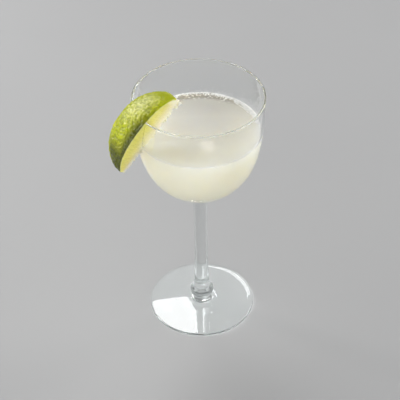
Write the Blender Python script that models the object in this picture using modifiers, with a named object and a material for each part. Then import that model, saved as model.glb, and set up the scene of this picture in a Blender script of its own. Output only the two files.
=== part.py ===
"""A daiquiri in its stemmed cocktail glass, with a lime wedge on the rim.

The glass is one turned piece: a deep round bowl, a slim waisted stem, a flattened knop and a
disc foot. The drink fills the bowl to a level, and the wedge is slit and pushed down on the wall.
Metres, +Z up. The foot stands on z = 0 with its centre at the origin, and -Y is the front.
"""

import math

import bmesh
import bpy
from mathutils import Matrix

# The glass
RIM_RADIUS = 0.0400  # outside of the lip
HEIGHT = 0.1675  # foot to lip
WALL = 0.0012  # at the lip
BOWL_DEPTH = 0.0715  # lip to the outside of the bowl's bottom
BOWL_FLOOR = 0.0032  # glass under the drink
BOWL_TAPER = 0.035  # the side draws in by this much for each metre down
BOWL_POWER = 3.7  # 2 is an ellipse, more is squarer in the shoulder
BOWL_STEPS = 16
STEM_TOP_RADIUS = 0.00475
STEM_TOP_Z = 0.0860
STEM_WAIST_RADIUS = 0.00410
STEM_WAIST_Z = 0.0460
STEM_FOOT_RADIUS = 0.00470
STEM_FOOT_Z = 0.0245  # where the stem starts to widen into the knop
SHOULDER_RADIUS = 0.00660  # where the knop's curve takes over from the stem's
KNOP_RADIUS = 0.00780
KNOP_HALF_HEIGHT = 0.0066
KNOP_Z = 0.0108
NECK_RADIUS = 0.00620  # under the knop
FOOT_RADIUS = 0.0343
FOOT_EDGE = 0.0016  # thickness at the edge
FOOT_RISE_RADIUS = 0.0100  # where the foot starts to sweep up into the neck
FOOT_RISE_Z = 0.0034
SEGMENTS = 72

# The drink
LEVEL_DEPTH = 0.0240  # lip to the surface
GAP = 0.00035  # clearance between neighbouring solids

# The lime wedge, a sixth of a fruit with both ends trimmed
LIME_RADIUS = 0.0235
LIME_LENGTH = 0.0583  # of the whole fruit
LIME_POWER = 2.3
LIME_FULLNESS = 0.55
INNER_END = 0.90  # where each end is trimmed, as a share of half the length
OUTER_END = 0.94
WEDGE_ANGLE = math.radians(60)
WEDGE_STEPS = 20
WEDGE_EDGE = 0.0006  # rounding of the cut edges
WEDGE_AZIMUTH = math.radians(212)  # round the rim, from +X
WEDGE_TILT = math.radians(43)  # the core's inner end points up by this much
WEDGE_ROLL = math.radians(-8)
CORE_OUT = 0.0306  # from the glass's axis to the middle of the core
CORE_ASIDE = -0.0036  # along the rim
CORE_DOWN = 0.0193  # below the lip


def clear_scene():
    for obj in list(bpy.data.objects):
        bpy.data.objects.remove(obj, do_unlink=True)


def new_collection(name):
    collection = bpy.data.collections.new(name)
    bpy.context.scene.collection.children.link(collection)
    return collection


def material(name, colour, roughness, transmission=0.0, ior=1.45):
    made = bpy.data.materials.new(name)
    made.use_nodes = True
    shader = made.node_tree.nodes["Principled BSDF"]
    shader.inputs["Base Color"].default_value = (*colour, 1.0)
    shader.inputs["Roughness"].default_value = roughness
    shader.inputs["Metallic"].default_value = 0.0
    shader.inputs["Transmission Weight"].default_value = transmission
    shader.inputs["IOR"].default_value = ior
    return made


def bowl_point(turn, radius, depth):
    """A point of a bowl curve: turn runs from 0 at the lip to 1 at the bottom, on the axis."""
    angle = math.pi / 2 * turn**2
    down = depth * math.sin(angle) ** (2 / BOWL_POWER)
    return (radius - BOWL_TAPER * down) * math.cos(angle), HEIGHT - down


def turn_at(down, depth):
    """The turn at which a bowl curve is this far below the lip."""
    angle = math.asin((down / depth) ** (BOWL_POWER / 2))
    return math.sqrt(angle / (math.pi / 2))


def bowl_curve(radius, depth, first, last, steps):
    turns = [first + (last - first) * i / steps for i in range(steps + 1)]
    return [bowl_point(turn, radius, depth) for turn in turns]


def bend(start, corner, end, steps):
    """A quadratic curve that leaves start towards corner and comes into end from it."""
    points = []
    for i in range(1, steps + 1):
        t = i / steps
        points.append(
            tuple(
                (1 - t) ** 2 * a + 2 * t * (1 - t) * b + t * t * c
                for a, b, c in zip(start, corner, end)
            )
        )
    return points


def lip_profile():
    """Half a circle from the inner wall over to the outer one."""
    half = WALL / 2
    middle = RIM_RADIUS - half
    angles = [math.pi * (1 - i / 5) for i in range(1, 5)]
    return [(middle + half * math.cos(a), HEIGHT - half + half * math.sin(a)) for a in angles]


def stem_profile(steps=5):
    """Down from the bowl's fillet, slimmest at the waist, then widening to the knop's shoulder."""
    points = []
    for end_z, end_radius, order in (
        (STEM_TOP_Z, STEM_TOP_RADIUS, range(steps - 1, -1, -1)),
        (STEM_FOOT_Z, STEM_FOOT_RADIUS, range(1, steps + 1)),
    ):
        for i in order:
            share = i / steps
            radius = STEM_WAIST_RADIUS + (end_radius - STEM_WAIST_RADIUS) * share**1.5
            points.append((radius, STEM_WAIST_Z + (end_z - STEM_WAIST_Z) * share))
    top = math.acos(SHOULDER_RADIUS / KNOP_RADIUS)
    shoulder_z = KNOP_Z + KNOP_HALF_HEIGHT * math.sin(top)
    climb = (SHOULDER_RADIUS - STEM_FOOT_RADIUS) * KNOP_HALF_HEIGHT / (KNOP_RADIUS * math.tan(top))
    corner = (STEM_FOOT_RADIUS, shoulder_z + climb)
    return points + bend(points[-1], corner, (SHOULDER_RADIUS, shoulder_z), 4)


def knop_profile(steps=7):
    """Down the side of the knop, from its shoulder to the neck under it."""
    top = math.acos(SHOULDER_RADIUS / KNOP_RADIUS)
    bottom = -math.acos(NECK_RADIUS / KNOP_RADIUS)
    points = []
    for i in range(1, steps + 1):
        angle = top + (bottom - top) * i / steps
        points.append((KNOP_RADIUS * math.cos(angle), KNOP_Z + KNOP_HALF_HEIGHT * math.sin(angle)))
    return points


def foot_profile(neck):
    """From the neck out over the foot, round its edge and back under it to the axis."""
    half = FOOT_EDGE / 2
    rise = (FOOT_RISE_RADIUS, FOOT_RISE_Z)
    slope = (FOOT_RISE_Z - FOOT_EDGE) / (FOOT_RADIUS - FOOT_RISE_RADIUS)
    corner = (NECK_RADIUS, FOOT_RISE_Z + slope * (FOOT_RISE_RADIUS - NECK_RADIUS))
    points = bend(neck, corner, rise, 5)
    middle = FOOT_RADIUS - half
    points.append(((FOOT_RISE_RADIUS + middle) / 2, (FOOT_RISE_Z + FOOT_EDGE) / 2))
    for i in range(5):
        angle = math.pi / 2 - math.pi * i / 4
        points.append((middle + half * math.cos(angle), half + half * math.sin(angle)))
    return points + [(FOOT_RISE_RADIUS, 0.0), (0.0, 0.0)]


def glass_profile():
    """The whole section: up the inner wall, over the lip, and down the outside to the foot."""
    inner_radius, inner_depth = RIM_RADIUS - WALL, BOWL_DEPTH - BOWL_FLOOR
    lip = turn_at(WALL / 2, inner_depth)
    inner = bowl_curve(inner_radius, inner_depth, 1.0, lip, BOWL_STEPS)
    outer = bowl_curve(RIM_RADIUS, BOWL_DEPTH, lip, 0.89, BOWL_STEPS - 2)
    corner = (STEM_TOP_RADIUS, outer[-1][1] - 0.0018)
    fillet = bend(outer[-1], corner, (STEM_TOP_RADIUS, STEM_TOP_Z), 6)
    knop = knop_profile()
    profile = inner + lip_profile() + outer + fillet + stem_profile() + knop
    profile = profile + foot_profile(knop[-1])
    return [(0.0, inner[0][1])] + profile[1:]


def drink_profile():
    """From the middle of the surface out to the wall, then down the wall to the axis."""
    radius, depth = RIM_RADIUS - WALL - GAP, BOWL_DEPTH - BOWL_FLOOR - GAP
    side = bowl_curve(radius, depth, turn_at(LEVEL_DEPTH, depth), 1.0, 13)
    surface = [(side[0][0] * i / 4, HEIGHT - LEVEL_DEPTH) for i in range(4)]
    return surface + side[:-1] + [(0.0, side[-1][1])]


def slit_profile():
    """The wall's section with the clearance added on every side, as deep as the wedge reaches."""
    inner_radius, inner_depth = RIM_RADIUS - WALL - GAP, BOWL_DEPTH - BOWL_FLOOR
    lowest = turn_at(0.040, inner_depth)
    outer = bowl_curve(RIM_RADIUS + GAP, BOWL_DEPTH, 0.0, lowest, 12)
    inner = bowl_curve(inner_radius, inner_depth, 0.0, lowest, 12)
    top = HEIGHT + GAP
    return [(inner[0][0], top), (outer[0][0], top)] + outer[1:] + inner[:0:-1]


def turned(name, profile, collection, surface, closed=False):
    """A profile in the XZ plane, swept once round Z."""
    count = len(profile)
    edges = [(i, (i + 1) % count) for i in range(count if closed else count - 1)]
    mesh = bpy.data.meshes.new(name)
    mesh.from_pydata([(r, 0.0, z) for r, z in profile], edges, [])
    obj = bpy.data.objects.new(name, mesh)
    collection.objects.link(obj)
    if surface:
        mesh.materials.append(surface)
    screw = obj.modifiers.new("Turn", "SCREW")
    screw.steps = screw.render_steps = SEGMENTS
    screw.use_merge_vertices = True
    screw.merge_threshold = 0.00001
    screw.use_smooth_shade = True
    return obj


def lime_radius(share):
    """The fruit's radius at a share of half its length, from -1 to 1."""
    return LIME_RADIUS * (1 - abs(share) ** LIME_POWER) ** LIME_FULLNESS


def lime_wedge(name, collection, surface, grow=0.0):
    """A half section of the fruit spun through the wedge's angle about its core, along X."""
    half = LIME_LENGTH / 2
    reach = grow / math.sin(WEDGE_ANGLE / 2)  # the core line of a grown wedge moves out by this
    ends = (INNER_END * half + grow, -OUTER_END * half - grow)
    section = [(ends[0], 0.0)]
    for i in range(WEDGE_STEPS + 1):
        angle = math.acos(INNER_END) + (math.acos(-OUTER_END) - math.acos(INNER_END)) * (
            i / WEDGE_STEPS
        )
        share = math.cos(angle)
        along = half * share + grow * (1 if i == 0 else -1 if i == WEDGE_STEPS else 0)
        section.append((along, lime_radius(share) + grow + reach))
    section.append((ends[1], 0.0))

    mesh = bpy.data.meshes.new(name)
    shape = bmesh.new()
    points = [shape.verts.new((x, 0.0, z)) for x, z in section]
    face = shape.faces.new(points)
    first = Matrix.Rotation(-WEDGE_ANGLE / 2, 3, "X")
    bmesh.ops.rotate(shape, verts=points, cent=(0, 0, 0), matrix=first)
    bmesh.ops.spin(
        shape,
        geom=[face] + list(shape.edges) + points,
        cent=(0, 0, 0),
        axis=(1, 0, 0),
        angle=WEDGE_ANGLE,
        steps=WEDGE_STEPS,
        use_duplicate=False,
    )
    bmesh.ops.remove_doubles(shape, verts=shape.verts, dist=0.00001)
    bmesh.ops.translate(shape, verts=shape.verts, vec=(0, 0, -reach))
    bmesh.ops.recalc_face_normals(shape, faces=shape.faces)
    shape.to_mesh(mesh)
    shape.free()

    obj = bpy.data.objects.new(name, mesh)
    collection.objects.link(obj)
    if surface:
        mesh.materials.append(surface)
    place_on_rim(obj)
    return obj


def place_on_rim(obj):
    """The core lies in a radial plane of the glass, its inner end up and its rind outwards."""
    c, s = math.cos(WEDGE_AZIMUTH), math.sin(WEDGE_AZIMUTH)
    obj.location = (
        CORE_OUT * c - CORE_ASIDE * s,
        CORE_OUT * s + CORE_ASIDE * c,
        HEIGHT - CORE_DOWN,
    )
    obj.rotation_euler = (WEDGE_ROLL, -WEDGE_TILT, WEDGE_AZIMUTH + math.pi)


def helper(obj):
    obj.hide_render = True
    obj.display_type = "WIRE"
    return obj


def cut(obj, cutter):
    boolean = obj.modifiers.new("Cut by " + cutter.name, "BOOLEAN")
    boolean.operation = "DIFFERENCE"
    boolean.solver = "EXACT"
    boolean.object = cutter


def round_edges(obj):
    bevel = obj.modifiers.new("Rounded edges", "BEVEL")
    bevel.width = WEDGE_EDGE
    bevel.segments = 2
    bevel.limit_method = "ANGLE"
    bevel.angle_limit = math.radians(40)


def build():
    clear_scene()
    parts = new_collection("Daiquiri")
    cutters = new_collection("Cutters")
    clear_glass = material("Clear glass", (0.93, 0.95, 0.95), 0.02, 1.0, 1.52)
    cloudy_drink = material("Shaken lime and rum", (0.75, 0.73, 0.58), 0.15, 0.2, 1.34)
    lime = material("Lime", (0.42, 0.52, 0.06), 0.35)

    turned("glass", glass_profile(), parts, clear_glass)

    wedge = lime_wedge("lime_wedge", parts, lime)
    round_edges(wedge)
    cut(wedge, helper(turned("slit", slit_profile(), cutters, None, closed=True)))

    drink = turned("drink", drink_profile(), parts, cloudy_drink)
    cut(drink, helper(lime_wedge("wedge_room", cutters, None, grow=GAP)))


build()
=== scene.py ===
import math
import random

import bmesh
import bpy
from mathutils import Matrix, Vector, geometry, noise


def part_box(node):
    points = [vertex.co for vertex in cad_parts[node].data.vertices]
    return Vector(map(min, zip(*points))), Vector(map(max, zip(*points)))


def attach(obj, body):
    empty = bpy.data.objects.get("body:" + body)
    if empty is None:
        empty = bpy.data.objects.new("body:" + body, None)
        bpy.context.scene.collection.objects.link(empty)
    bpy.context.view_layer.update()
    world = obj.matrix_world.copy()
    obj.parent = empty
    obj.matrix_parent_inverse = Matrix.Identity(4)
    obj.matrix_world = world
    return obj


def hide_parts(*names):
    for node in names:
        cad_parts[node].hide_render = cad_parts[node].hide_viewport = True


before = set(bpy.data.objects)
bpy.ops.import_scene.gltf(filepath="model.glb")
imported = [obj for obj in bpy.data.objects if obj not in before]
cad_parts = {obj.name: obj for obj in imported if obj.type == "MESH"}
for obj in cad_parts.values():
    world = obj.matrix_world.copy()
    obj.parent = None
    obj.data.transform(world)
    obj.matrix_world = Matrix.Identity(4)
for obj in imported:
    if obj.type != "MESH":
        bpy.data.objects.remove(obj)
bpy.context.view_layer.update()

# ---------------------------------------------------------------------------------------------
# The view: a long lens about 0.8 m away, looking down on the glass from the front.
VIEW_DISTANCE = 0.8187
VIEW_LENS = 117.0
VIEW_DOWN = math.radians(40.18)
VIEW_ROLL = math.radians(-0.967)
VIEW_TARGET = Vector((-0.0002, 0.0, 0.0874))
LIGHT_TURNS, LAYERS_SEEN_THROUGH = 48, 16

camera_data = bpy.data.cameras.new("camera")
camera_data.lens = VIEW_LENS
camera_data.sensor_width = 36.0
camera_data.clip_start = 0.01
camera = bpy.data.objects.new("camera", camera_data)
bpy.context.scene.collection.objects.link(camera)
camera.location = VIEW_TARGET + VIEW_DISTANCE * Vector((0, -math.cos(VIEW_DOWN), math.sin(VIEW_DOWN)))
level_view = Matrix.Rotation(math.pi / 2 - VIEW_DOWN, 3, "X")
camera.rotation_euler = (level_view @ Matrix.Rotation(VIEW_ROLL, 3, "Z")).to_euler()
bpy.context.scene.camera = camera
bpy.context.scene.view_settings.view_transform = "Standard"
# Light that a thin glass wall carries along inside it turns many corners before it leaves.
cycles = bpy.context.scene.cycles
cycles.max_bounces = LIGHT_TURNS
cycles.transmission_bounces = LIGHT_TURNS
cycles.glossy_bounces = LIGHT_TURNS
cycles.transparent_max_bounces = LAYERS_SEEN_THROUGH

# ---------------------------------------------------------------------------------------------
# The studio: a wide matt pale floor, soft lights high behind, low on the far left and on the right,
# weak broad ones in front, one small lamp that glints in the drink, and a pale room all round.
FLOOR_SIZE, FLOOR_DROP = 6.0, 0.0002
LAMP_AIM = Vector((0, 0, 0.12))


def shader_of(name):
    """A new material, its node tree and its Principled shader."""
    made = bpy.data.materials.new(name)
    made.use_nodes = True
    return made, made.node_tree, made.node_tree.nodes["Principled BSDF"]


def wire(out, into):
    """Joins one node's output to another's input, in the material that both are in."""
    out.id_data.links.new(out, into)


def node(tree, kind, **values):
    """Adds a node, with its settings by attribute and its inputs by socket name."""
    made = tree.nodes.new("ShaderNode" + kind)
    for key, value in values.items():
        if key in made.inputs:
            made.inputs[key].default_value = value
        else:
            setattr(made, key, value)
    return made


def ramp(value, *stops):
    """Gives a value its colour, by stops of a position and a colour."""
    made = node(value.id_data, "ValToRGB")
    bar = made.color_ramp
    while len(bar.elements) < len(stops):
        bar.elements.new(0.5)
    for element, (position, colour) in zip(bar.elements, stops):
        element.position, element.color = position, (*colour, 1)
    wire(value, made.inputs["Fac"])
    return made.outputs["Color"]


def floor_paint():
    """Pale matt paint with a faint grain."""
    made, tree, shader = shader_of("floor_paint")
    grain = node(tree, "TexNoise", Scale=30.0, Detail=4.0)
    paint = ramp(grain.outputs["Fac"], (0.0, (0.44, 0.44, 0.44)), (1.0, (0.47, 0.47, 0.47)))
    wire(paint, shader.inputs["Base Color"])
    shader.inputs["Roughness"].default_value = 0.35
    shader.inputs["Specular IOR Level"].default_value = 0.15
    return made


bpy.ops.mesh.primitive_plane_add(size=FLOOR_SIZE, location=(0, 0, -FLOOR_DROP))
floor = bpy.context.object
floor.name = "floor"
floor.data.materials.append(floor_paint())


def soft_light(name, azimuth, elevation, distance, width, height, power):
    """A rectangular soft light that faces the bowl, placed by compass and height in degrees."""
    a, e = math.radians(azimuth), math.radians(elevation)
    away = Vector((math.cos(a) * math.cos(e), math.sin(a) * math.cos(e), math.sin(e)))
    data = bpy.data.lights.new(name, "AREA")
    data.shape = "RECTANGLE"
    data.size, data.size_y, data.energy = width, height, power
    lamp = bpy.data.objects.new(name, data)
    bpy.context.scene.collection.objects.link(lamp)
    lamp.location = LAMP_AIM + away * distance
    lamp.rotation_euler = away.to_track_quat("Z", "Y").to_euler()


soft_light("key_light", 101, 48.5, 1.2, 0.24, 0.36, 2.4)
soft_light("back_light", 125, 50, 1.2, 0.50, 0.50, 1.7)
soft_light("left_light", 152, 26, 1.1, 0.16, 0.22, 5.5)
soft_light("side_light", 33, 24, 1.2, 0.28, 0.9, 5.0)
soft_light("front_light", 270, 8, 1.4, 2.0, 0.6, 5.4)
soft_light("front_left_light", 208, 9, 1.4, 1.0, 0.6, 8.2)
soft_light("front_right_light", 332, 9, 1.4, 1.0, 0.6, 7.4)
soft_light("catch_light", 89.1, 39.25, 1.2, 0.016, 0.016, 0.0075)

room = bpy.data.worlds.new("room")
bpy.context.scene.world = room
room.use_nodes = True
walls = room.node_tree.nodes["Background"]
walls.inputs["Color"].default_value = (0.80, 0.81, 0.83, 1)
walls.inputs["Strength"].default_value = 0.29

# ---------------------------------------------------------------------------------------------
# The glass: clear soda glass, turned in one piece. The bowl is thin at the lip and thickens to
# its floor, the stem is drawn to a waist, and a flattened knop sits on the slightly hollow foot.
GLASS_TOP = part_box("glass")[1]
RIM_RADIUS = GLASS_TOP.x
HEIGHT = GLASS_TOP.z
WALL = 0.0012
BOWL_DEPTH = 0.0715
BOWL_FLOOR = 0.0032
BOWL_TAPER = 0.035
BOWL_POWER = 3.7
# How far round its curve the bowl's outside runs into the stem, and how steeply it does.
BOWL_FOOT_TURN, BOWL_FOOT_DROP = 0.89, 0.0018
# The radius and the height of three points of the stem, and of one where the foot steepens.
STEM_TOP = (0.00475, 0.0860)
STEM_WAIST = (0.00410, 0.0460)
STEM_FOOT = (0.00470, 0.0245)
FOOT_RISE = (0.0100, 0.0034)
SHOULDER_RADIUS = 0.00660
KNOP_RADIUS, KNOP_HALF_HEIGHT, KNOP_Z = 0.00780, 0.0066, 0.0108
NECK_RADIUS = 0.00620
FOOT_RADIUS = 0.0343
FOOT_EDGE = 0.0016
FOOT_RING = 0.0035
FOOT_HOLLOW = 0.0005
LATHE_STEPS = 192
BOWL_STEPS, KNOP_STEPS, FLARE_STEPS, STEM_STEPS, EDGE_STEPS, HOLLOW_STEPS = 44, 20, 14, 12, 10, 8
# Points closer than this are one.
WELD = 0.000002


def bowl_point(turn, radius, depth):
    """A point of a bowl curve: turn runs from 0 at the lip to 1 at the bottom, on the axis."""
    angle = math.pi / 2 * turn**2
    down = depth * math.sin(angle) ** (2 / BOWL_POWER)
    return (radius - BOWL_TAPER * down) * math.cos(angle), HEIGHT - down


def turn_at(down, depth):
    """The turn at which a bowl curve is this far below the lip."""
    return math.sqrt(math.asin((down / depth) ** (BOWL_POWER / 2)) / (math.pi / 2))


def bowl_curve(radius, depth, first, last, steps):
    """Points of a bowl curve from one turn to another."""
    return [bowl_point(first + (last - first) * i / steps, radius, depth) for i in range(steps + 1)]


def bend(start, corner, end, steps):
    """A quadratic curve that leaves start towards corner and comes into end from it."""
    points = []
    for i in range(1, steps + 1):
        t = i / steps
        points.append(tuple((1 - t) ** 2 * a + 2 * t * (1 - t) * b + t * t * c
                            for a, b, c in zip(start, corner, end)))
    return points


def arc(centre, width, height, first, last, steps):
    """Points of an upright ellipse about a centre, from one angle to another."""
    angles = [first + (last - first) * i / steps for i in range(steps + 1)]
    return [(centre[0] + width * math.cos(a), centre[1] + height * math.sin(a)) for a in angles]


def foot_section():
    """Out under the foot to the ring it stands on, round its edge and up over it to the knop."""
    half = FOOT_EDGE / 2
    edge = FOOT_RADIUS - half
    points = []
    for i in range(HOLLOW_STEPS + 1):
        share = i / HOLLOW_STEPS
        points.append(((edge - FOOT_RING) * share, FOOT_HOLLOW * math.cos(math.pi / 2 * share) ** 2))
    points += arc((edge, half), half, half, -math.pi / 2, math.pi / 2, EDGE_STEPS)
    middle = ((edge + FOOT_RISE[0]) / 2, (FOOT_EDGE + FOOT_RISE[1]) / 2)
    points += bend((edge, FOOT_EDGE), middle, FOOT_RISE, EDGE_STEPS)
    slope = (FOOT_RISE[1] - FOOT_EDGE) / (edge - FOOT_RISE[0])
    corner = (NECK_RADIUS, FOOT_RISE[1] + slope * (FOOT_RISE[0] - NECK_RADIUS))
    return points + bend(FOOT_RISE, corner, knop_section()[0], STEM_STEPS)


def knop_section():
    """The flattened knop, from its neck to its shoulder."""
    low, high = -math.acos(NECK_RADIUS / KNOP_RADIUS), math.acos(SHOULDER_RADIUS / KNOP_RADIUS)
    return arc((0, KNOP_Z), KNOP_RADIUS, KNOP_HALF_HEIGHT, low, high, KNOP_STEPS)


def stem_section():
    """From the knop's shoulder in to the stem's waist, and out again to its top."""
    shoulder = knop_section()[-1]
    fall = math.tan(math.acos(SHOULDER_RADIUS / KNOP_RADIUS))
    climb = (SHOULDER_RADIUS - STEM_FOOT[0]) * KNOP_HALF_HEIGHT / (KNOP_RADIUS * fall)
    points = bend(shoulder, (STEM_FOOT[0], shoulder[1] + climb), STEM_FOOT, EDGE_STEPS)
    downwards, upwards = range(STEM_STEPS - 1, -1, -1), range(1, STEM_STEPS + 1)
    for end, order in ((STEM_FOOT, downwards), (STEM_TOP, upwards)):
        for i in order:
            share = i / STEM_STEPS
            points.append((STEM_WAIST[0] + (end[0] - STEM_WAIST[0]) * share**1.5,
                           STEM_WAIST[1] + (end[1] - STEM_WAIST[1]) * share))
    return points


def glass_section():
    """From the middle of the foot's hollow out, up the outside, over the lip and down inside."""
    inner_depth = BOWL_DEPTH - BOWL_FLOOR
    half = WALL / 2
    lip = turn_at(half, inner_depth)
    outer = bowl_curve(RIM_RADIUS, BOWL_DEPTH, BOWL_FOOT_TURN, lip, BOWL_STEPS)
    points = foot_section() + knop_section()[1:] + stem_section()
    corner = (STEM_TOP[0], outer[0][1] - BOWL_FOOT_DROP)
    points += bend(points.pop(), corner, outer[0], FLARE_STEPS) + outer[1:]
    points += arc((RIM_RADIUS - half, HEIGHT - half), half, half, 0, math.pi, EDGE_STEPS)[1:-1]
    points += bowl_curve(RIM_RADIUS - WALL, inner_depth, lip, 1.0, BOWL_STEPS)[:-1]
    return points + [(0.0, HEIGHT - inner_depth)]


def draw_section(name, points):
    """Draws a line in the XZ plane, point after point, and leaves it open in edit mode."""
    bpy.ops.object.select_all(action="DESELECT")
    bpy.ops.mesh.primitive_plane_add(size=0.0001, location=(points[0][0], 0, points[0][1]))
    piece = bpy.context.object
    piece.name = piece.data.name = name
    bpy.ops.object.transform_apply(location=True, rotation=False, scale=False)
    bpy.ops.object.mode_set(mode="EDIT")
    bpy.ops.mesh.merge(type="CENTER")
    for (x, z), (next_x, next_z) in zip(points, points[1:]):
        bpy.ops.mesh.extrude_region_move(TRANSFORM_OT_translate={"value": (next_x - x, 0, next_z - z)})
    bpy.ops.mesh.select_all(action="SELECT")
    return piece


def turn_on_lathe(name, section):
    """Spins a drawn section once round the upright axis and closes its seam and poles."""
    piece = draw_section(name, section)
    bpy.ops.mesh.spin(steps=LATHE_STEPS, angle=math.tau, center=(0, 0, 0), axis=(0, 0, 1))
    bpy.ops.mesh.select_all(action="SELECT")
    bpy.ops.mesh.remove_doubles(threshold=WELD)
    bpy.ops.mesh.normals_make_consistent(inside=False)
    bpy.ops.object.mode_set(mode="OBJECT")
    bpy.ops.object.shade_smooth_by_angle(angle=math.radians(50))
    return piece


def spread(value, low, high, new_low=0.0, new_high=1.0):
    """Moves a value from one range to another, and holds it at the range's ends."""
    made = node(value.id_data, "MapRange")
    wire(value, made.inputs["Value"])
    limits = (("From Min", low), ("From Max", high), ("To Min", new_low), ("To Max", new_high))
    for name, number in limits:
        made.inputs[name].default_value = number
    return made.outputs["Result"]


def pattern(place, kind, scale, detail=2.0, stretch=(1, 1, 1)):
    """Noise or cells that lie still on a piece, by its own coordinates."""
    made = node(place.id_data, kind, Scale=scale, Detail=detail)
    stretched = node(place.id_data, "Mapping", Scale=stretch)
    wire(place, stretched.inputs["Vector"])
    wire(stretched.outputs["Vector"], made.inputs["Vector"])
    return made.outputs["Distance" if kind == "TexVoronoi" else "Fac"]


def emboss(height, shader, strength, distance):
    """Lets a height pattern tilt the surface that a shader lights."""
    made = node(height.id_data, "Bump", Strength=strength, Distance=distance)
    wire(height, made.inputs["Height"])
    wire(made.outputs["Normal"], shader.inputs["Normal"])


def clear_glass():
    """Clear glass with a faint uneven polish, that lets the lamps through to what it holds."""
    made, tree, shader = shader_of("clear_glass")
    place = node(tree, "TexCoord").outputs["Object"]
    polish = pattern(place, "TexNoise", 140.0, 3.0)
    wire(spread(polish, 0.45, 0.75, 0.0, 0.04), shader.inputs["Roughness"])
    emboss(pattern(place, "TexNoise", 60.0, 1.0), shader, 0.04, 0.001)
    shader.inputs["Base Color"].default_value = (0.96, 0.97, 0.97, 1)
    shader.inputs["Transmission Weight"].default_value = 1.0
    shader.inputs["IOR"].default_value = 1.5
    result = tree.nodes["Material Output"]
    tint = node(tree, "VolumeAbsorption", Color=(0.10, 0.19, 0.17, 1), Density=10.0)
    wire(tint.outputs["Volume"], result.inputs["Volume"])
    lamps = node(tree, "BsdfTransparent", Color=(0.86, 0.87, 0.87, 1))
    ray = node(tree, "LightPath")
    both = node(tree, "MixShader")
    wire(ray.outputs["Is Shadow Ray"], both.inputs[0])
    wire(shader.outputs["BSDF"], both.inputs[1])
    wire(lamps.outputs["BSDF"], both.inputs[2])
    wire(both.outputs["Shader"], result.inputs["Surface"])
    return made


glass = turn_on_lathe("cocktail_glass", glass_section())
glass.data.materials.append(clear_glass())
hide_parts("glass")
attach(glass, "root")

# ---------------------------------------------------------------------------------------------
# The drink: shaken rum, lime and sugar, pale and cloudy, filling the bowl to its level. It wets
# the wall, so its edge climbs a little, and its side reaches just into the glass.
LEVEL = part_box("drink")[1].z
WET_OVERLAP = 0.00025
MENISCUS_HEIGHT, MENISCUS_REACH, MENISCUS_WIDTH = 0.0003, 0.0013, 0.006
DRINK_STEPS, MENISCUS_STEPS, SURFACE_STEPS = 40, 12, 10
# Each colour drifts between two tones.
CREAM = ((0.78, 0.748, 0.625), (0.81, 0.778, 0.655))
# The pale cream is a painted glow for the low side of the drink.
PAINTED_GLOW_CREAM = ((0.92, 0.91, 0.84), (0.94, 0.93, 0.86))
# The grey is painted shade for the back of the drink's top.
PAINTED_SHADE_GREY = ((0.36, 0.355, 0.34), (0.38, 0.375, 0.36))
# The top's tones are painted light in front and painted shade behind.
PAINTED_LIGHT_TOP_IN_FRONT, PAINTED_SHADE_TOP_BEHIND = (0.77, 0.74, 0.65), (0.59, 0.58, 0.54)
# A painted shade for the right side of the top.
PAINTED_SHADE_ON_THE_RIGHT = (0.97, 0.965, 0.945)
# The dark band colour is a painted reflection of the meniscus; the flecks are froth.
PAINTED_DARK_REFLECTION, FLECK = (0.17, 0.165, 0.158), (0.66, 0.65, 0.62)


def drink_section():
    """From the bottom up the wall to the wet edge, then in over the surface to the middle."""
    radius = RIM_RADIUS - WALL + WET_OVERLAP
    depth = BOWL_DEPTH - BOWL_FLOOR + WET_OVERLAP
    wet_edge = HEIGHT - LEVEL - MENISCUS_HEIGHT
    side = bowl_curve(radius, depth, 1.0, turn_at(wet_edge, depth), DRINK_STEPS)
    points = [(0.0, side[0][1])] + side[1:]
    brim = side[-1][0]
    for i in range(1, MENISCUS_STEPS + 1):
        inward = MENISCUS_WIDTH * (i / MENISCUS_STEPS) ** 2
        climb = MENISCUS_HEIGHT * math.exp(-max(0.0, inward - 2 * WET_OVERLAP) / MENISCUS_REACH)
        points.append((brim - inward, LEVEL + climb))
    last = points[-1][0]
    points += [(last * (1 - i / SURFACE_STEPS), LEVEL) for i in range(1, SURFACE_STEPS + 1)]
    return points


def blend(share, first, second):
    """Mixes two colours, each a node's output or a fixed one, by a share of the second."""
    made = node(share.id_data, "Mix", data_type="RGBA")
    wire(share, made.inputs["Factor"])
    for socket, value in ((made.inputs[6], first), (made.inputs[7], second)):
        if isinstance(value, tuple):
            socket.default_value = (*value, 1)
        else:
            wire(value, socket)
    return made.outputs[2]


def calc(kind, first, second):
    """Works out a value from an output and a second output or number."""
    made = node(first.id_data, "Math", operation=kind)
    wire(first, made.inputs[0])
    if isinstance(second, (int, float)):
        made.inputs[1].default_value = second
    else:
        wire(second, made.inputs[1])
    return made.outputs[0]


def from_axis(first, second):
    """How far a point lies from an axis, by its two coordinates across it."""
    squares = calc("ADD", calc("MULTIPLY", first, first), calc("MULTIPLY", second, second))
    return calc("POWER", squares, 0.5)


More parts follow.
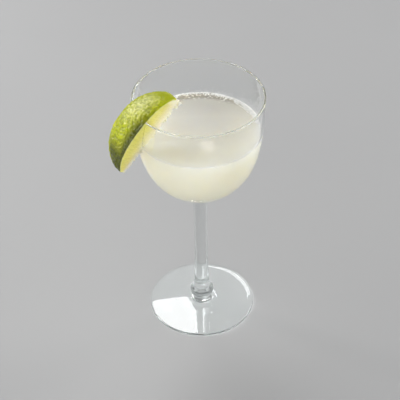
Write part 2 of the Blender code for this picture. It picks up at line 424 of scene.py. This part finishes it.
def cloudy_drink():
    """Pale cream liquid that light sinks into, with painted shade that makes it greyer on top, and fine
    froth along the wall.
    """
    made, tree, shader = shader_of("cloudy_drink")
    place = node(tree, "TexCoord").outputs["Object"]
    parts = node(tree, "SeparateXYZ")
    wire(place, parts.inputs["Vector"])
    right, back, height = parts.outputs
    drift = pattern(place, "TexNoise", 45.0, 4.0)
    fizz = pattern(place, "TexNoise", 700.0)

    def clouded(tones):
        return ramp(drift, (0.35, tones[0]), (0.65, tones[1]))

    # The side is cream, and a painted glow makes it paler towards the bottom of the bowl.
    side = blend(spread(height, 0.112, 0.098), clouded(CREAM), clouded(PAINTED_GLOW_CREAM))

    # The top has painted light and shade: cream in front, grey behind, a little darker on the right,
    # and a painted dark reflection in a band inside the back edge, with flecks of froth.
    top = ramp(spread(back, -0.036, 0.010), (0.0, PAINTED_LIGHT_TOP_IN_FRONT), (1.0, PAINTED_SHADE_TOP_BEHIND))
    top = blend(spread(back, 0.012, 0.034), top, clouded(PAINTED_SHADE_GREY))
    # Painted shade: the top's colour is multiplied darker towards the right.
    right_painted_shade = ramp(spread(right, 0.002, 0.022), (0.0, (1.0, 1.0, 1.0)), (1.0, PAINTED_SHADE_ON_THE_RIGHT))
    shade = node(tree, "VectorMath", operation="MULTIPLY")
    wire(top, shade.inputs[0])
    wire(right_painted_shade, shade.inputs[1])
    # Painted reflection: a dark band inside the back edge, where the meniscus bends, broken by flecks of
    # froth.
    flecks = ramp(fizz, (0.53, PAINTED_DARK_REFLECTION), (0.65, FLECK))
    painted_band_with_froth = calc("MULTIPLY", spread(from_axis(right, back), 0.0300, 0.0332), spread(back, 0.022, 0.031))
    top = blend(painted_band_with_froth, shade.outputs[0], flecks)
    on_top = spread(height, LEVEL - 0.0006, LEVEL - 0.0001)
    wire(blend(on_top, side, top), shader.inputs["Base Color"])

    emboss(pattern(place, "TexNoise", 160.0), shader, 0.04, 0.0006)
    shader.inputs["Roughness"].default_value = 0.04
    shader.inputs["IOR"].default_value = 1.34
    shader.inputs["Subsurface Weight"].default_value = 1.0
    shader.inputs["Subsurface Radius"].default_value = (1.0, 0.9, 0.7)
    shader.inputs["Subsurface Scale"].default_value = 0.045
    return made


drink = turn_on_lathe("cloudy_daiquiri", drink_section())
drink.data.materials.append(cloudy_drink())
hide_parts("drink")
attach(drink, "root")

# ---------------------------------------------------------------------------------------------
# The lime wedge: a sixth of a ripe lime, cut lengthwise, slit from the core to just under the
# rind and pushed down on the wall. Waxy pitted rind, thin pith, wet flesh and a ragged white core.
LIME_RADIUS = 0.02345
LIME_LENGTH = 0.0583
LIME_POWER = 2.3
LIME_FULLNESS = 0.55
# Shares of half the fruit's length: where its outer end is trimmed off, where the wedge's inner
# tip is, and where the rind stops and the rounded tip starts.
OUTER_END, INNER_END, RIND_END = 0.94, 0.90, 0.870
TIP_CORNER = (0.0023, 0.0075)
RIND_STEPS, TIP_STEPS, WEDGE_STEPS = 44, 12, 36
BARE_TIP_STEPS = 6
# The shreds at the core's tip and along its ridge: how many, how far back from the tip they sit,
# their sizes, and how many times its size each may lie aside.
SHREDS = (
    (30, (0.0, 0.0045), (0.0004, 0.0009), 2),
    (60, (0.004, 0.050), (0.0003, 0.0008), 1),
)
SHRED_STRETCH = (0.7, 1.6)
WEDGE_ANGLE = math.radians(64)
WEDGE_AZIMUTH = math.radians(212)
WEDGE_TILT = math.radians(43)
WEDGE_ROLL = math.radians(-8)
CORE_OUT, CORE_ASIDE, CORE_DOWN = 0.0306, -0.0036, 0.0193
SLIT_ROOM, SLIT_REACH, SLIT_STEPS = 0.00006, 0.040, 20
LIME_GRID = 0.00030
RIND_DEPTH, RIND_EDGE, RIND_BLUR = 0.0009, 0.0002, 0.0003
PITH_DEPTH, PITH_BLUR = 0.0012, 0.0005
PIT_SPACING, PIT_DEPTH, PIT_REACH = 0.00150, 0.00022, 0.55
WAVE_LENGTH, WAVE_HEIGHT = 0.00150, 0.00050
# The rind's relief fades along the fruit between two places, by a share of its height.
SMOOTH_FROM, SMOOTH_TO, SMOOTHED = 0.016, 0.024, 0.85
SAC_WIDTH, SAC_LENGTH, SAC_DEPTH, SAC_EDGE = 0.0015, 0.0060, 0.00016, 0.35
SACS_ROUND = 8
GREEN, YELLOW_GREEN, RIPE_YELLOW = (0.42, 0.47, 0.001), (0.52, 0.56, 0.002), (0.64, 0.65, 0.004)
# The dark olive is painted shade, and the pale bloom is a painted sheen.
PAINTED_SHADE_OLIVE, PAINTED_SHEEN_PALE = (0.035, 0.042, 0.0005), (0.86, 0.85, 0.45)
# The gland bottom colour is painted shade in the rind's hollows.
GLAND, PIT_PAINTED_SHADE = (0.62, 0.64, 0.02), (0.16, 0.19, 0.001)
PITH, CORE, RAGGED_TIP = (0.72, 0.72, 0.26), (0.90, 0.84, 0.66), (0.93, 0.90, 0.78)
FLESH_BY_CORE, FLESH_BY_RIND = (0.90, 0.82, 0.56), (0.74, 0.69, 0.05)
FLESH_INSIDE, FLESH_OUTSIDE = (0.83, 0.75, 0.30), (0.79, 0.71, 0.10)
SAC_WALL = (0.84, 0.79, 0.36)


def lime_radius(share):
    """The fruit's radius at a share of half its length, from -1 to 1."""
    return LIME_RADIUS * (1 - abs(share) ** LIME_POWER) ** LIME_FULLNESS


def lime_half_section():
    """From the trimmed outer end round the rind to the rounded inner tip, on the core."""
    half = LIME_LENGTH / 2
    ends = math.acos(-OUTER_END), math.acos(RIND_END)
    shares = [share for share, _ in arc((0, 0), 1, 1, *ends, RIND_STEPS)]
    points = [(half * share, lime_radius(share)) for share in shares]
    tip = (INNER_END * half, 0.0)
    return points + bend(points[-1], (tip[0] + TIP_CORNER[0], TIP_CORNER[1]), tip, TIP_STEPS)


def on_the_rim():
    """The wedge's place: its core in a radial plane of the glass, its inner end up."""
    c, s = math.cos(WEDGE_AZIMUTH), math.sin(WEDGE_AZIMUTH)
    spot = Vector((CORE_OUT * c - CORE_ASIDE * s, CORE_OUT * s + CORE_ASIDE * c, HEIGHT - CORE_DOWN))
    turned = (Matrix.Rotation(WEDGE_AZIMUTH + math.pi, 4, "Z") @ Matrix.Rotation(-WEDGE_TILT, 4, "Y")
              @ Matrix.Rotation(WEDGE_ROLL, 4, "X"))
    return Matrix.Translation(spot) @ turned


def slit_cutter():
    """The wall's own section with a little room all round, as deep as the wedge reaches."""
    inner_depth = BOWL_DEPTH - BOWL_FLOOR
    lowest = turn_at(SLIT_REACH, inner_depth)
    outer = bowl_curve(RIM_RADIUS + SLIT_ROOM, BOWL_DEPTH, 0.0, lowest, SLIT_STEPS)
    inner = bowl_curve(RIM_RADIUS - WALL - SLIT_ROOM, inner_depth, lowest, 0.0, SLIT_STEPS)
    top = HEIGHT + SLIT_ROOM
    ring = [(inner[-1][0], top)] + [(outer[0][0], top)] + outer[1:] + inner[:-1]
    return turn_on_lathe("slit_cutter", ring + ring[:1])


def apply_all(piece):
    """Applies every modifier of a piece."""
    bpy.ops.object.select_all(action="DESELECT")
    piece.select_set(True)
    bpy.context.view_layer.objects.active = piece
    for change in list(piece.modifiers):
        bpy.ops.object.modifier_apply(modifier=change.name)


def turn_lime_wedge():
    """Turns a sixth of the fruit about its core."""
    core = [(-OUTER_END * LIME_LENGTH / 2, 0.0)]
    wedge = draw_section("lime_wedge_on_rim", core + lime_half_section())
    bpy.ops.mesh.edge_face_add()
    bpy.ops.mesh.select_all(action="SELECT")
    bpy.ops.transform.rotate(value=-WEDGE_ANGLE / 2, orient_axis="X", center_override=(0, 0, 0))
    bpy.ops.mesh.spin(steps=WEDGE_STEPS, angle=WEDGE_ANGLE, center=(0, 0, 0), axis=(1, 0, 0))
    bpy.ops.mesh.select_all(action="SELECT")
    bpy.ops.mesh.remove_doubles(threshold=WELD)
    bpy.ops.mesh.normals_make_consistent(inside=False)
    bpy.ops.object.mode_set(mode="OBJECT")
    return wedge


def fray_core(wedge):
    """Fuses small torn lumps to the core's ridge and tip."""
    fray = random.Random(7)
    shreds = []
    for count, places, sizes, sizes_aside in SHREDS:
        for _ in range(count):
            along = INNER_END * LIME_LENGTH / 2 - fray.uniform(*places)
            size = fray.uniform(*sizes)
            aside = sizes_aside * size
            place = (along, fray.uniform(-aside, aside), fray.uniform(-aside, 2 * size))
            bpy.ops.mesh.primitive_ico_sphere_add(subdivisions=2, radius=size, location=place)
            bpy.ops.transform.resize(value=[fray.uniform(*SHRED_STRETCH) for _ in range(3)])
            shreds.append(bpy.context.object)
    for shred in shreds:
        shred.select_set(True)
    wedge.select_set(True)
    bpy.context.view_layer.objects.active = wedge
    bpy.ops.object.join()
    fuse = wedge.modifiers.new("fuse", "REMESH")
    fuse.mode, fuse.voxel_size, fuse.use_smooth_shade = "VOXEL", LIME_GRID, True
    apply_all(wedge)


def slit_wedge(wedge):
    """Sets the wedge on the rim and cuts the slit that the wall sits in."""
    wedge.matrix_world = on_the_rim()
    cutter = slit_cutter()
    slit = wedge.modifiers.new("slit", "BOOLEAN")
    slit.operation, slit.solver, slit.object = "DIFFERENCE", "EXACT", cutter
    apply_all(wedge)
    bpy.data.objects.remove(cutter)


def depth_under_rind(spot, curve):
    """How far a point of the wedge, in its own frame, lies under the rind's surface."""
    flat = Vector((spot.x, math.hypot(spot.y, spot.z)))
    nearest = min(range(len(curve)), key=lambda i: (curve[i] - flat).length_squared)
    first, last = max(0, nearest - 1), min(len(curve) - 2, nearest)
    best = 1.0
    for i in range(first, last + 1):
        foot, share = geometry.intersect_point_line(flat, curve[i], curve[i + 1])
        foot = curve[i] if share < 0 else curve[i + 1] if share > 1 else Vector(foot[:2])
        best = min(best, (foot - flat).length)
    return best


def finish_skin_and_flesh(wedge):
    """Pits the rind and swells the juice sacs, and keeps what the material follows as attributes."""
    curve = [Vector(point) for point in lime_half_section()[:-BARE_TIP_STEPS]]
    depths = []
    pits = []
    moved = []
    for vertex in wedge.data.vertices:
        spot = vertex.co
        depth = depth_under_rind(spot, curve)
        pit = 0.0
        if depth < RIND_DEPTH / 2:
            hole = max(0.0, 1 - noise.voronoi(spot / PIT_SPACING)[0][0] / PIT_REACH)
            wave = noise.noise(spot / WAVE_LENGTH)
            skin = min(1.0, (RIND_DEPTH / 2 - depth) / RIND_EDGE)
            smooth = min(1.0, max(0.0, (spot.x - SMOOTH_FROM) / (SMOOTH_TO - SMOOTH_FROM)))
            relief = 1 - SMOOTHED * smooth
            press = (WAVE_HEIGHT * (wave - 0.5) - PIT_DEPTH * hole) * skin * relief
            pit = 0.5 + (0.4 * hole - wave) * relief
        else:
            radius = math.hypot(spot.y, spot.z)
            turn = math.atan2(spot.y, spot.z)
            cell = Vector((spot.x / SAC_WIDTH, turn * SACS_ROUND, radius / SAC_LENGTH))
            near, far = noise.voronoi(cell)[0][:2]
            press = -SAC_DEPTH * max(0.0, 1 - (far - near) / SAC_EDGE)
        depths.append(depth)
        pits.append(pit)
        moved.append(spot + vertex.normal * press)
    for vertex, spot in zip(wedge.data.vertices, moved):
        vertex.co = spot
    for name, values in (("rind_depth", depths), ("gland_pit", pits)):
        kept = wedge.data.attributes.new(name, "FLOAT", "POINT")
        kept.data.foreach_set("value", values)


def rind_colour(place, along, turn):
    """Yellow-green, with painted shade in dark olive towards the outer end and along one cut, and a
    painted sheen on its back.
    """
    mottle = pattern(place, "TexNoise", 110.0, 3.0)
    rind = ramp(mottle, (0.30, GREEN), (0.50, YELLOW_GREEN), (0.72, RIPE_YELLOW))
    # Painted shade: dark olive along the cut that faces away from the lamps, and towards the outer end.
    shade_by_cut = calc("MULTIPLY", spread(turn, -0.24, -0.48), spread(along, 0.018, 0.002))
    shade_by_end = calc("MULTIPLY", spread(along, -0.010, -0.019), spread(turn, 0.55, 0.10))
    painted_shade_share = calc("MULTIPLY", calc("MAXIMUM", shade_by_cut, shade_by_end), 0.94)
    rind = blend(painted_shade_share, rind, PAINTED_SHADE_OLIVE)

    # The glands are darker at the bottom with painted shade, and the painted sheen lies on the crests
    # between them.
    pit = node(place.id_data, "Attribute", attribute_name="gland_pit").outputs["Fac"]
    rind = blend(calc("MULTIPLY", spread(pit, 0.35, 0.95), 0.55), rind, PIT_PAINTED_SHADE)
    # Painted sheen: a pale patch on the back of the rind, strongest on the crests.
    painted_sheen = calc("MULTIPLY", spread(turn, -0.42, -0.12), spread(turn, 0.50, 0.15))
    painted_sheen = calc("MULTIPLY", painted_sheen, spread(along, -0.003, 0.010))
    painted_sheen = calc("MULTIPLY", painted_sheen, spread(along, 0.023, 0.018))
    sheen_on_crests = spread(spread(pit, 0.55, 0.10), 0.0, 1.0, 0.30, 0.75)
    return blend(calc("MULTIPLY", painted_sheen, sheen_on_crests), rind, PAINTED_SHEEN_PALE)


def flesh_colour(along, radius, sacs):
    """Wet green-yellow flesh that pales inwards to a cream core and a white ragged tip."""
    girth = calc("ADD", radius, spread(along, 0.000, -0.026, 0.0, 0.0075))
    flesh = ramp(spread(girth, 0.0, 0.021), (0.20, FLESH_BY_CORE), (0.44, FLESH_INSIDE),
                 (0.66, FLESH_OUTSIDE), (0.88, FLESH_BY_RIND))
    flesh = blend(calc("MULTIPLY", spread(sacs, 0.0, 0.7), 0.25), flesh, SAC_WALL)
    flesh = blend(spread(radius, 0.0042, 0.0010), flesh, CORE)
    return blend(spread(along, 0.0215, 0.0255, 0.0, 0.8), flesh, RAGGED_TIP)


def lime_skin_and_flesh():
    """One material by depth: rind, thin pith, flesh that pales inwards, and a white core."""
    made, tree, shader = shader_of("lime_skin_and_flesh")
    own = node(tree, "Mapping")
    back = on_the_rim().inverted()
    own.inputs["Location"].default_value = back.to_translation()
    own.inputs["Rotation"].default_value = back.to_euler()
    wire(node(tree, "TexCoord").outputs["Object"], own.inputs["Vector"])
    place = own.outputs["Vector"]
    parts = node(tree, "SeparateXYZ")
    wire(place, parts.inputs["Vector"])
    along, across, out = parts.outputs
    turn = calc("ARCTAN2", across, out)
    radius = from_axis(across, out)
    glands = pattern(place, "TexVoronoi", 800.0)
    sacs = pattern(place, "TexVoronoi", 650.0, stretch=(1.0, 0.22, 0.22))

    rind = rind_colour(place, along, turn)
    rind = blend(calc("MULTIPLY", spread(glands, 0.55, 0.15), 0.20), rind, GLAND)
    depth = node(tree, "Attribute", attribute_name="rind_depth").outputs["Fac"]
    under = calc("ADD", depth, spread(pattern(place, "TexNoise", 420.0), 0, 1, -0.0002, 0.0002))
    pith_share = spread(under, PITH_DEPTH + PITH_BLUR, PITH_DEPTH)
    inside = blend(pith_share, flesh_colour(along, radius, sacs), PITH)
    rind_share = spread(under, RIND_DEPTH, RIND_DEPTH - RIND_BLUR)
    wire(blend(rind_share, inside, rind), shader.inputs["Base Color"])
    wire(spread(rind_share, 0.0, 1.0, 0.20, 0.24), shader.inputs["Roughness"])

    flesh_share = spread(rind_share, 1.0, 0.0)
    bumps = calc("ADD", calc("MULTIPLY", glands, rind_share), calc("MULTIPLY", sacs, flesh_share))
    emboss(bumps, shader, 0.5, 0.0003)
    shader.inputs["IOR"].default_value = 1.45
    shader.inputs["Specular IOR Level"].default_value = 0.4
    wire(spread(rind_share, 0.0, 1.0, 0.7, 0.12), shader.inputs["Subsurface Weight"])
    shader.inputs["Subsurface Radius"].default_value = (1.0, 0.9, 0.3)
    shader.inputs["Subsurface Scale"].default_value = 0.003
    return made


wedge = turn_lime_wedge()
fray_core(wedge)
slit_wedge(wedge)
finish_skin_and_flesh(wedge)
bpy.ops.object.transform_apply(location=True, rotation=True, scale=True)
bpy.ops.object.shade_smooth()
wedge.data.materials.append(lime_skin_and_flesh())
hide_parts("lime_wedge")
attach(wedge, "root")

# ---------------------------------------------------------------------------------------------
# The froth: what the shaker leaves, fine bubbles gathered where the drink meets the wall, thickest
# at the back on the right, and a spatter of droplets and pulp dried on the wall above them.
BUBBLE_SIZES = (0.00013, 0.00042)
SPATTER, SPATTER_SIZES, SPATTER_ARC = 260, (0.00007, 0.00022), (-10, 125, 38)
SPATTER_LOWEST, SPATTER_RISE, SPATTER_HIGHEST = 0.0006, 0.0022, 0.012
LOOSE_BUBBLES, LOOSE_SIZES, LOOSE_ARC = 70, (0.00008, 0.00018), (-60, 150)
LOOSE_RADIUS, LOOSE_DRIFT = 0.0362, 0.006
# Shares of a bead's size: how deep a droplet sits in the wall, how flat it is, and how high a
# loose bubble floats.
DROPLET_SUNK, DROPLET_FLATNESS, BUBBLE_LIFT = 0.2, 0.45, 0.3
# Each arc of the edge: its first and last compass angle, how many bubbles it has, and how far they
# spread inwards, crowded towards the wall, and climb it.
FROTH_ARCS = (
    (8, 50, 760, 0.0036, 0.0003),
    (6, 32, 300, 0.0026, 0.0003),
    (24, 74, 560, 0.0024, 0.0002),
    (56, 126, 560, 0.0014, 0.0002),
    (-62, 10, 150, 0.0006, 0.0002),
    (122, 195, 180, 0.0009, 0.0002),
    (195, 298, 36, 0.0003, 0.0001),
)
CROWDING = 2.6
FILM_GREY, FILM_WHITE = (0.80, 0.79, 0.76), (0.94, 0.935, 0.91)


def wall_radius(height):
    """The inner wall's radius at a height above the table."""
    inner_depth = BOWL_DEPTH - BOWL_FLOOR
    return bowl_point(turn_at(HEIGHT - height, inner_depth), RIM_RADIUS - WALL, inner_depth)[0]


def bead(mesh, azimuth, radius, height, size, thickness=1.0):
    """Adds one round bubble or flattened droplet, thin along the radius."""
    turned = Matrix.Rotation(azimuth, 4, "Z")
    shaped = Matrix.Diagonal((size * thickness, size, size, 1))
    bmesh.ops.create_icosphere(mesh, subdivisions=1, radius=1.0,
                               matrix=turned @ Matrix.Translation((radius, 0, height)) @ shaped)


def froth():
    """Bubbles along the wet edge, droplets on the wall and a few bubbles adrift."""
    drawn = random.Random(11)
    mesh = bmesh.new()
    for first, last, count, width, climb in FROTH_ARCS:
        for _ in range(count):
            size = drawn.uniform(*BUBBLE_SIZES)
            azimuth = math.radians(drawn.uniform(first, last))
            inward = size + width * drawn.random() ** CROWDING
            lift = MENISCUS_HEIGHT * math.exp(-inward / MENISCUS_REACH) + climb * drawn.random() ** 2
            bead(mesh, azimuth, wall_radius(LEVEL + lift) - inward, LEVEL + lift, size)
    for _ in range(SPATTER):
        size = drawn.uniform(*SPATTER_SIZES)
        azimuth = math.radians(drawn.triangular(*SPATTER_ARC))
        height = LEVEL + min(SPATTER_HIGHEST, SPATTER_LOWEST + drawn.expovariate(1 / SPATTER_RISE))
        bead(mesh, azimuth, wall_radius(height) - size * DROPLET_SUNK, height, size, DROPLET_FLATNESS)
    for _ in range(LOOSE_BUBBLES):
        size = drawn.uniform(*LOOSE_SIZES)
        azimuth = math.radians(drawn.uniform(*LOOSE_ARC))
        radius = LOOSE_RADIUS - drawn.expovariate(1 / LOOSE_DRIFT)
        bead(mesh, azimuth, radius, LEVEL + size * BUBBLE_LIFT, size)
    made = bpy.data.meshes.new("wall_froth")
    mesh.to_mesh(made)
    mesh.free()
    piece = bpy.data.objects.new("wall_froth", made)
    bpy.context.scene.collection.objects.link(piece)
    made.shade_smooth()
    return piece


def froth_film():
    """Wet white bubble film, a little greyer in places."""
    made, tree, shader = shader_of("froth_film")
    patches = pattern(node(tree, "TexCoord").outputs["Object"], "TexNoise", 500.0)
    film = ramp(patches, (0.35, FILM_GREY), (0.65, FILM_WHITE))
    wire(film, shader.inputs["Base Color"])
    shader.inputs["Roughness"].default_value = 0.12
    shader.inputs["IOR"].default_value = 1.34
    return made


bubbles = froth()
bubbles.data.materials.append(froth_film())
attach(bubbles, "root")
